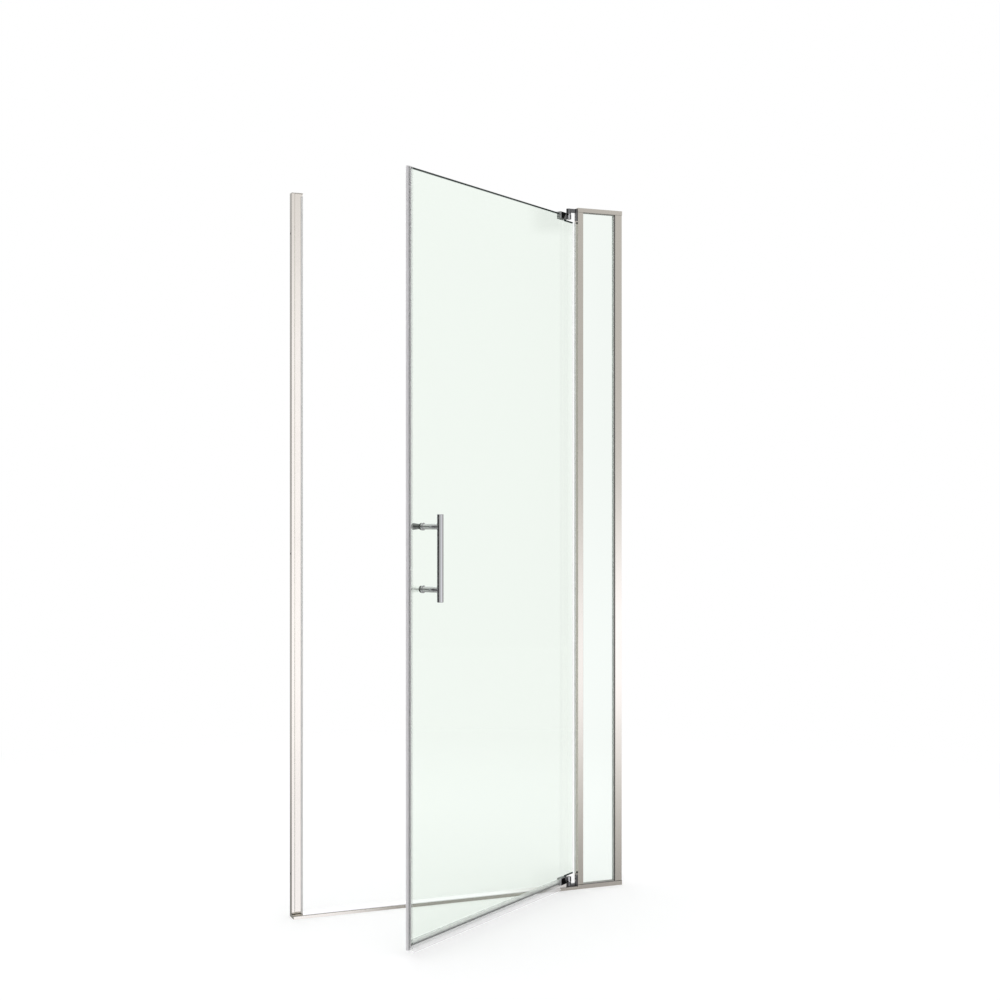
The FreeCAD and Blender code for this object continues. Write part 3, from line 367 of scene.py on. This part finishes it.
def moulded(name, colour, roughness, grain):
    """Moulded plastic or rubber with a fine grain."""
    material, tree, sockets = new_material(name, Roughness=roughness)
    noise = tree.noise(tree.place(), grain, GRAIN_DETAIL)
    tone = tree.spread(noise, *NOISE, *GRAIN_TONE)
    tree.set(sockets["Base Color"], tree.mix_colour("MULTIPLY", 1.0, (*colour, 1), tone))
    tree.set(sockets["Normal"], tree.relief(noise, GRAIN_BUMP, GRAIN_DEPTH))
    return material


steel = brushed("turned_steel", (0.56, 0.55, 0.54), 0.28, (600, 600, 600), 0.1)

# The finish of each node
for material, names in (
    (nickel("satin_nickel_left", UPRIGHT_GRAIN, LEFT_JOINT_SHADE), ("left_wall_profile", "strike_jamb")),
    (nickel("satin_nickel_right", UPRIGHT_GRAIN, RIGHT_JOINT_SHADE), RIGHT_UPRIGHTS),
    (nickel("satin_nickel_rail", LEVEL_GRAIN), ("panel_top_rail",)),
    (nickel("satin_nickel_bottom", LEVEL_GRAIN, painted_rim_shade=RAIL_RIM_SHADE), ("panel_bottom_rail",)),
    (nickel("satin_nickel_sill", LEVEL_GRAIN, painted_rim_shade=SILL_RIM_SHADE), ("sill_rail",)),
    (polished("chrome", (0.50, 0.50, 0.505), 0.025),
     ("handle_bar", "upper_handle_post", "lower_handle_post")),
    # The two inner knobs are the same chrome: the upper one's near-black tone is a painted dark reflection,
    # the lower one's pale, rough tone a painted bright reflection
    (polished("painted_shade_chrome", (0.11, 0.115, 0.11), 0.03), ("upper_inner_knob",)),
    (polished("painted_light_chrome", (0.97, 0.98, 0.97), 0.55), ("lower_inner_knob",)),
    (polished("dark_chrome", (0.18, 0.18, 0.185), 0.03),
     (*CLAMPS, "upper_pivot_bracket", "lower_pivot_bracket")),
    (steel, (*SCREWS, "upper_pivot_pin", "lower_pivot_pin", "handle_studs")),
    (clear_glass("clear_glass", (0.905, 0.95, 0.912)), ("fixed_glass",)),
    (clear_glass("clear_door_glass", (0.925, 0.985, 0.925), level_edge_shade), ("door_glass",)),
    (film("clear_vinyl", (0.90, 0.93, 0.90), 0.3), GASKETS),
    (film("pale_vinyl", (0.93, 0.97, 0.93), 0.9), ("jamb_glazing_gasket",)),
    (film("post_vinyl", (0.97, 0.99, 0.97), 0.95), ("hinge_post_seal",)),
    (film("seal_leg", (0.62, 0.63, 0.62), 0.18), ("door_edge_seal",)),
    (film("strike_vinyl", (0.72, 0.71, 0.70), 1.0), ("strike_magnet_seal",)),
    (banded_film("sweep_vinyl", SWEEP_TONES_AND_SHADE, SWEEP_TOP, 0.32), ("door_sweep",)),
    (moulded("glazing_rubber", (0.86, 0.87, 0.86), 0.55, 900), ("setting_blocks",)),
    (moulded("magnet_strip", (0.035, 0.034, 0.032), 0.6, 900), MAGNETS),
    (moulded("washer_rubber", (0.03, 0.032, 0.03), 0.5, 900), WASHERS),
    (moulded("nylon", (0.78, 0.77, 0.74), 0.4, 700), ("upper_pivot_bush", "lower_pivot_bush")),
    (moulded("cap_plastic", (0.50, 0.47, 0.43), 0.35, 1500), ("left_jamb_cap",)),
):
    for name in names:
        nodes[name].data.materials.clear()
        nodes[name].data.materials.append(material)


def also_finish(name, material, wanted):
    """A further material on those faces of a node whose normal passes the test."""
    mesh = nodes[name].data
    mesh.materials.append(material)
    for face in mesh.polygons:
        if wanted(face.normal):
            face.material_index = len(mesh.materials) - 1


# The pane's level edges are dark and its upright edge at the hinge pale
also_finish("door_glass", moulded("glass_edge", EDGE_GREEN, 0.2, 300),
            lambda normal: (abs(normal.dot(DOOR_THROUGH)) < SIDE_FACE
                            and abs(normal.dot(DOOR_ALONG)) < EDGE_FACE))
also_finish("door_glass", film("glass_pale_edge", (0.90, 0.97, 0.91), 0.15),
            lambda normal: normal.dot(DOOR_ALONG) > EDGE_FACE)

# The edge seal's nose is cloudier than its legs; the panel jamb's return at the glass is darker than its
# front by painted shade
also_finish("door_edge_seal", film("seal_nose", (0.95, 0.93, 0.95), 0.8),
            lambda normal: normal.dot(DOOR_ALONG) < -NOSE_FACE)
also_finish("panel_jamb", brushed("painted_shade_return", (0.19, 0.185, 0.17), 0.12, UPRIGHT_GRAIN, NICKEL_BUMP),
            lambda normal: normal.dot(LEFT) > RETURN_FACE)

# The clamps' ends are satin, and lighter than the clamps' faces by painted light
clamp_lit_end = brushed("satin_chrome_painted_light", (0.62, 0.62, 0.63), 0.4, (900, 900, 30), 0.05)
for name in CLAMPS:
    also_finish(name, clamp_lit_end, lambda normal: normal.dot(DOOR_ALONG) < -END_FACE)

for name in (*GASKETS, *SEALS, *MAGNETS, *WASHERS, "jamb_glazing_gasket", "setting_blocks"):
    draw = nodes[name].modifiers.new("draw_in", "DISPLACE")
    draw.mid_level = 0
    draw.strength = -SOFT_DRAW

# Glass lets all light through, and the door glass doesn't mirror the fixed side
for name in ("door_glass", "fixed_glass"):
    nodes[name].visible_shadow = False
for name in (*RIGHT_UPRIGHTS, "fixed_glass", "hinge_post_seal", "post_glazing_gasket", "jamb_glazing_gasket"):
    nodes[name].visible_glossy = False


def separate_points(mesh):
    """The mesh's points, in one list for each of its separate solids."""
    solid_of = {}
    for face in mesh.polygons:
        corners = [tuple(round(number, POINT_DIGITS) for number in mesh.vertices[index].co)
                   for index in face.vertices]
        joined = set(corners)
        for corner in corners:
            joined |= solid_of.get(corner, set())
        for corner in joined:
            solid_of[corner] = joined
    solids = {id(points): sorted(points) for points in solid_of.values()}
    return [[Vector(point) for point in points] for points in sorted(solids.values())]


def cross_reach(angle, length, half_width):
    """How far a cross reaches from its middle, at an angle from one of its arms."""
    turn = abs((angle + math.pi / 4) % (math.pi / 2) - math.pi / 4)
    if math.tan(turn) * length <= half_width:
        return length / math.cos(turn)
    return half_width / math.sin(turn)


def add_screw(shape, points, way, turn):
    """A domed screw with a cross recess, as long and wide as the plain one whose points are given."""
    side = Matrix.Rotation(turn, 3, way) @ way.orthogonal().normalized()
    other = way.cross(side)
    middle = Vector()
    for line in (side, other):
        places = [point.dot(line) for point in points]
        middle += line * (min(places) + max(places)) / 2
    lift = [point.dot(way) for point in points]
    reach = [(point - way * height - middle).length for point, height in zip(points, lift)]
    head = max(reach)
    top, tip = max(lift), min(lift)
    seat = min(height for height, out in zip(lift, reach) if out > HEAD_SHARE * head)
    shank = max(out for height, out in zip(lift, reach) if height < tip + SCREW_STEP)
    arm, arm_half = CROSS_LENGTH * head, CROSS_HALF * head
    corner = math.atan(arm_half / arm)
    spread = (math.pi / 4 - corner) / 2
    quarter = (-corner, -corner / 2, 0, corner / 2, corner, corner + spread, math.pi / 4,
               math.pi / 2 - corner - spread)
    angles = [step * math.pi / 2 + angle for step in range(4) for angle in quarter]

    def cross(share):
        return [cross_reach(angle, arm * share, arm_half * share) for angle in angles]

    def circle(radius):
        return [radius] * len(angles)

    # Rings from the recess's bottom over the domed head to the tip
    rings = [(top - CROSS_DEPTH, cross(CROSS_TAPER)), (top, cross(1.0))]
    rings += [(seat + (top - seat) * height, circle(head * out)) for height, out in PAN_HEAD]
    rings += [(seat, circle(shank)), (tip + SCREW_STEP, circle(shank)), (tip, circle(shank * TIP_SHARE))]

    outward = [side * math.cos(angle) + other * math.sin(angle) for angle in angles]
    loops = [[shape.verts.new(middle + way * height + line * out) for line, out in zip(outward, outs)]
             for height, outs in rings]
    for upper, lower in zip(loops, loops[1:]):
        for index in range(len(angles)):
            shape.faces.new((upper[index - 1], lower[index - 1], lower[index], upper[index]))
    shape.faces.new(loops[0])
    shape.faces.new(loops[-1])


def make_screws():
    for name, (body, way) in SCREWS.items():
        shape = bmesh.new()
        for number, points in enumerate(separate_points(nodes[name].data)):
            add_screw(shape, points, way, number * SCREW_TURN)
        bmesh.ops.recalc_face_normals(shape, faces=shape.faces)
        mesh = bpy.data.meshes.new(f"{name}_cross")
        shape.to_mesh(mesh)
        shape.free()
        mesh.shade_smooth()
        mesh.set_sharp_from_angle(angle=SCREW_SHARP)
        mesh.materials.append(steel)
        piece = bpy.data.objects.new(f"{name}_cross", mesh)
        scene.collection.objects.link(piece)
        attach(piece, body)
        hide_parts(name)


def make_camera():
    data = bpy.data.cameras.new("camera")
    data.sensor_width = SENSOR_WIDTH
    data.lens = FOCAL_PIXELS / IMAGE_WIDTH * data.sensor_width
    data.clip_start, data.clip_end = CLIP_START, CLIP_END
    camera = bpy.data.objects.new("camera", data)
    camera.location = CAMERA_PLACE
    camera.rotation_euler = (math.radians(90), 0, math.radians(-CAMERA_YAW))
    scene.collection.objects.link(camera)
    scene.camera = camera


def seen_directly(tree):
    """1 for what the camera sees, straight or through glass, and 0 for what a metal reflects."""
    rays = tree.add("ShaderNodeLightPath").outputs
    unreflected = tree.math("LESS_THAN", rays["Glossy Depth"], 0.5)
    through = tree.product(rays["Is Transmission Ray"], unreflected)
    return tree.math("MAXIMUM", rays["Is Camera Ray"], through)


def make_floor():
    """A pale floor that keeps the object's shadow, and turns to the backdrop's white further away."""
    bpy.ops.mesh.primitive_circle_add(vertices=FLOOR_SIDES, radius=FLOOR_RADIUS, fill_type="NGON",
                                      location=(0, 0, 0))
    floor = bpy.context.active_object
    floor.name = "floor"
    material = bpy.data.materials.new("floor")
    material.use_nodes = True
    tree = Nodes(material.node_tree)
    output = tree.add("ShaderNodeOutputMaterial")
    seen = seen_directly(tree)
    paint = tree.add("ShaderNodeBsdfDiffuse", Color=FLOOR_PAINT)
    lift = tree.add("ShaderNodeEmission", Color=WHITE, Strength=tree.product(seen, FLOOR_LIFT))
    near = tree.add("ShaderNodeAddShader")
    tree.set(near.inputs[0], paint.outputs[0])
    tree.set(near.inputs[1], lift.outputs[0])
    far = tree.spread(tree.measure("LENGTH", tree.place()), *FLOOR_FADE, smooth=True)
    white = tree.add("ShaderNodeEmission", Color=WHITE, Strength=1.0)
    surface = tree.mix_shader(tree.product(far, seen), near.outputs[0], white.outputs[0])
    tree.set(output.inputs["Surface"], surface)
    floor.data.materials.append(material)
    floor.visible_glossy = False


def round_ramp(tree, around, levels):
    """Brightness by the angle all round, from -180 to 180 degrees."""
    return tree.ramp(tree.spread(around, -180, 180, 0.0, 1.0),
                     [((angle + 180) / 360, (level,) * 3) for angle, level in levels])


def make_world():
    """A white backdrop, and for light and reflections a studio: soft grey room, dark at the left, white light
    behind the object, a bright tall box in front, a bright band low at the right and a soft top light."""
    world = bpy.data.worlds.new("studio")
    scene.world = world
    world.use_nodes = True
    tree = Nodes(world.node_tree)
    output = tree.add("ShaderNodeOutputWorld")
    way = tree.parts(tree.add("ShaderNodeTexCoord").outputs["Generated"])
    around = tree.product(tree.math("ARCTAN2", way["X"], tree.product(way["Y"], -1.0)), DEGREES)
    rise = tree.product(tree.math("ARCSINE", way["Z"]), DEGREES)

    # The room all round, dark at the left on eye level, and the light behind the object
    steep = tree.math("ABSOLUTE", tree.total(rise, ROOM_MIDDLE))
    room = tree.mix_colour("MIX", tree.spread(steep, *ROOM_STEEP), round_ramp(tree, around, ROOM), STEEP_GREY)
    room = tree.product(room, tree.spread(rise, *ROOM_LOW))
    behind = tree.product(round_ramp(tree, around, BEHIND), tree.spread(rise, *BEHIND_LOW),
                          tree.spread(rise, *BEHIND_HIGH))
    ground = tree.spread(rise, *GROUND)

    # A tall light in front, a low bright band at the right, a soft light on top
    box = tree.product(tree.spread(around, *BOX_LEFT, smooth=True),
                       tree.spread(around, *BOX_RIGHT, smooth=True),
                       tree.spread(rise, *BOX_HIGH, smooth=True), tree.spread(rise, *BOX_LOW))
    offset = tree.math("DIVIDE", tree.total(rise, tree.spread(around, *BAND_DROP)), BAND_HEIGHT)
    band = tree.math("POWER", math.e, tree.product(offset, offset, -1.0))
    band = tree.product(band, tree.spread(around, *BAND_LEFT), tree.spread(around, *BAND_RIGHT, smooth=True))
    top = tree.spread(rise, *TOP, smooth=True)
    level = tree.total(room, behind, ground, box, band, top)

    # A dark card at the far right, above and below eye level
    card_steep = tree.math("ABSOLUTE", tree.total(rise, CARD_MIDDLE))
    card = tree.product(tree.spread(around, *CARD_LEFT), tree.spread(around, *CARD_RIGHT),
                        tree.spread(card_steep, *CARD_STEEP))
    level = tree.product(level, tree.math("SUBTRACT", 1.0, card))

    tint = tree.mix_colour("MIX", tree.math("MAXIMUM", box, band), WHITE, FRONT_TINT)
    tint = tree.mix_colour("MIX", behind, tint, BEHIND_TINT)
    studio = tree.add("ShaderNodeBackground", Color=tint, Strength=level)
    backdrop = tree.add("ShaderNodeBackground", Color=WHITE, Strength=1.0)
    surface = tree.mix_shader(seen_directly(tree), studio.outputs[0], backdrop.outputs[0])
    tree.set(output.inputs["Surface"], surface)


make_camera()
make_screws()
make_floor()
make_world()
